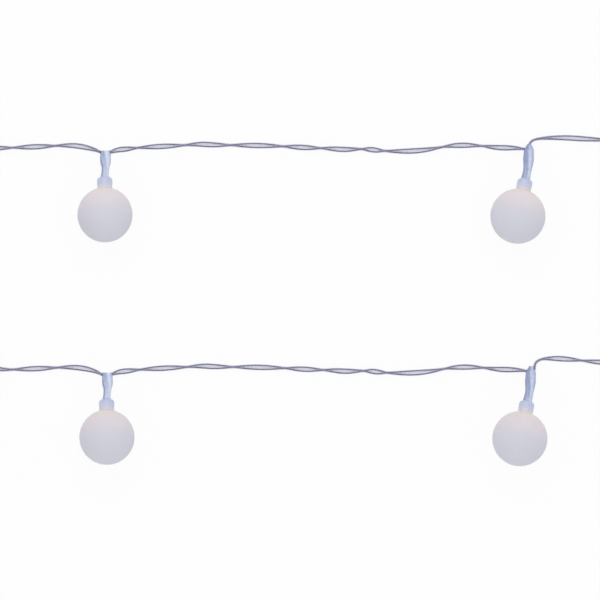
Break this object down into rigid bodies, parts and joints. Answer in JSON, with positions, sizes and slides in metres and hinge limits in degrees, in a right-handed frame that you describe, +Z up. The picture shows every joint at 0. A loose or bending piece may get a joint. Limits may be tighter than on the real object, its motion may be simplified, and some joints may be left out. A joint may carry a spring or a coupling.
{
  "type": "solar string lights",
  "caption": "Solar string lights laid flat: frosted globe lamps hang from a clear twin cable, with a coiled lead to a tilting solar panel on a ground stake.",
  "frame": {"origin": "on the table, under the middle of the rigid pieces: globes, holders, sleeves and solar unit", "axes": "+X along the rows from the solar unit to the lamps, +Y from globe to cable up the picture, +Z up from the table"},
  "size_m": [0.593, 0.1208, 0.022],
  "materials": {
    "frosted_globe": "frosted",
    "milky_holder": "satin",
    "clear_lamp": "clear",
    "tinned_wire": "bright",
    "shrink_sleeve": "clear",
    "clear_cable": "clear",
    "tie_plastic": "soft",
    "black_housing": "fine texture",
    "black_rubber": "matt",
    "solar_cell": "printed cells",
    "panel_cover": "clear resin",
    "steel": "zinc plated",
    "battery_sleeve": "shrink film",
    "board_green": "solder mask",
    "board_black": "moulded"
  },
  "bodies": {
    "string_and_panel": {"globe_1": "frosted_globe", "globe_2": "frosted_globe", "globe_3": "frosted_globe", "globe_4": "frosted_globe", "globe_5": "frosted_globe", "globe_6": "frosted_globe", "globe_7": "frosted_globe", "globe_8": "frosted_globe", "globe_9": "frosted_globe", "globe_10": "frosted_globe", "lamp_holders": "milky_holder", "leds": "clear_lamp", "led_legs": "tinned_wire", "battery_contacts": "tinned_wire", "shrink_sleeves": "shrink_sleeve", "sleeve_wires": "clear_cable", "cable_1_2": "clear_cable", "cable_2_3": "clear_cable", "cable_3_4": "clear_cable", "cable_4_5": "clear_cable", "cable_5_6": "clear_cable", "cable_6_7": "clear_cable", "cable_7_8": "clear_cable", "cable_8_9": "clear_cable", "cable_9_10": "clear_cable", "lead_tail": "clear_cable", "lead_coil": "clear_cable", "lead_run": "clear_cable", "coil_ties": "tie_plastic", "rear_cover": "black_housing", "front_bezel": "black_housing", "gasket": "black_rubber", "lead_boot": "black_rubber", "solar_cells": "solar_cell", "panel_glass": "panel_cover", "cover_screws": "steel", "battery_cell": "battery_sleeve", "circuit_board": "board_green", "board_parts": "board_black"},
    "bracket": {"tilt_bracket": "black_housing", "pivot_bolt": "steel", "pivot_washer": "steel"},
    "thumb_nut": {"thumb_nut": "black_housing"},
    "ground_stake": {"ground_stake": "black_housing"},
    "power_button": {"power_button": "black_rubber"},
    "mode_button": {"mode_button": "black_rubber"}
  },
  "joints": [
    {"name": "panel_tilt", "type": "hinge", "parent": "string_and_panel", "child": "bracket", "pos_m": [-0.2, 0, 0.011], "axis": [0, 1, 0], "range_deg": [-90, 90]},
    {"name": "thumb_nut_turn", "type": "hinge", "parent": "bracket", "child": "thumb_nut", "pos_m": [-0.2, 0, 0.011], "axis": [0, 1, 0], "continuous": true},
    {"name": "stake_pull", "type": "slide", "parent": "bracket", "child": "ground_stake", "axis": [1, 0, 0], "range_m": [0, 0.0125]},
    {"name": "power_button_press", "type": "slide", "parent": "string_and_panel", "child": "power_button", "axis": [-1, 0, 0], "range_m": [0, 0.0012], "stiffness_N_per_m": 800, "springref_m": -0.0005},
    {"name": "mode_button_press", "type": "slide", "parent": "string_and_panel", "child": "mode_button", "axis": [-1, 0, 0], "range_m": [0, 0.0012], "stiffness_N_per_m": 800, "springref_m": -0.0005}
  ]
}
